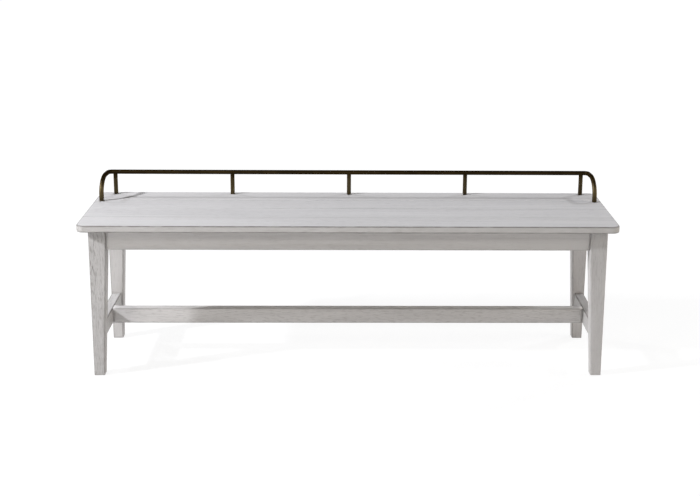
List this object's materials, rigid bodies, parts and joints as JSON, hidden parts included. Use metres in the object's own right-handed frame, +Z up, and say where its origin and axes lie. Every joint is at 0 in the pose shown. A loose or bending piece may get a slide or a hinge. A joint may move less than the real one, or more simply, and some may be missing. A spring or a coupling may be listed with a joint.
{
  "type": "dining bench",
  "caption": "Long whitewashed wooden dining bench on tapered square legs with a low H-stretcher, and a dark metal gallery rail round the back of its board seat.",
  "frame": {"origin": "on the floor, under the centre of the seat", "axes": "+X along the seat to the right, +Y to the back where the gallery rail is, +Z up"},
  "size_m": [1.525, 0.39, 0.5327],
  "materials": {
    "whitewashed_seat_wood": "whitewashed, wire-brushed, rubbed through at the edges",
    "whitewashed_frame_wood": "whitewashed, wire-brushed, rubbed through at the edges",
    "bare_inner_wood": "bare",
    "dark_bronze": "dark aged bronze",
    "zinc_plated_steel": "zinc plated",
    "glide_plastic": "moulded"
  },
  "bodies": {
    "root": {"back_apron": "whitewashed_frame_wood", "back_left_corner_block": "bare_inner_wood", "back_left_foot_glide": "glide_plastic", "back_left_hanger_bolt": "zinc_plated_steel", "back_left_leg": "whitewashed_frame_wood", "back_left_nut": "zinc_plated_steel", "back_left_washer": "zinc_plated_steel", "back_right_corner_block": "bare_inner_wood", "back_right_foot_glide": "glide_plastic", "back_right_hanger_bolt": "zinc_plated_steel", "back_right_leg": "whitewashed_frame_wood", "back_right_nut": "zinc_plated_steel", "back_right_washer": "zinc_plated_steel", "front_apron": "whitewashed_frame_wood", "front_left_corner_block": "bare_inner_wood", "front_left_foot_glide": "glide_plastic", "front_left_hanger_bolt": "zinc_plated_steel", "front_left_leg": "whitewashed_frame_wood", "front_left_nut": "zinc_plated_steel", "front_left_washer": "zinc_plated_steel", "front_right_corner_block": "bare_inner_wood", "front_right_foot_glide": "glide_plastic", "front_right_hanger_bolt": "zinc_plated_steel", "front_right_leg": "whitewashed_frame_wood", "front_right_nut": "zinc_plated_steel", "front_right_washer": "zinc_plated_steel", "gallery_post_1": "dark_bronze", "gallery_post_2": "dark_bronze", "gallery_post_3": "dark_bronze", "gallery_post_4": "dark_bronze", "gallery_post_5": "dark_bronze", "gallery_post_screw_1": "zinc_plated_steel", "gallery_post_screw_2": "zinc_plated_steel", "gallery_post_screw_3": "zinc_plated_steel", "gallery_post_screw_4": "zinc_plated_steel", "gallery_post_screw_5": "zinc_plated_steel", "gallery_rail": "dark_bronze", "left_apron": "whitewashed_frame_wood", "left_cross_rail": "bare_inner_wood", "left_rail_foot_screw": "zinc_plated_steel", "left_seat_screw_1": "zinc_plated_steel", "left_seat_screw_2": "zinc_plated_steel", "left_seat_screw_3": "zinc_plated_steel", "left_seat_screw_4": "zinc_plated_steel", "left_side_stretcher": "whitewashed_frame_wood", "long_stretcher": "whitewashed_frame_wood", "right_apron": "whitewashed_frame_wood", "right_cross_rail": "bare_inner_wood", "right_rail_foot_screw": "zinc_plated_steel", "right_seat_screw_1": "zinc_plated_steel", "right_seat_screw_2": "zinc_plated_steel", "right_seat_screw_3": "zinc_plated_steel", "right_seat_screw_4": "zinc_plated_steel", "right_side_stretcher": "whitewashed_frame_wood", "seat_board_1": "whitewashed_seat_wood", "seat_board_2": "whitewashed_seat_wood", "seat_board_3": "whitewashed_seat_wood", "seat_board_4": "whitewashed_seat_wood"}
  },
  "joints": []
}
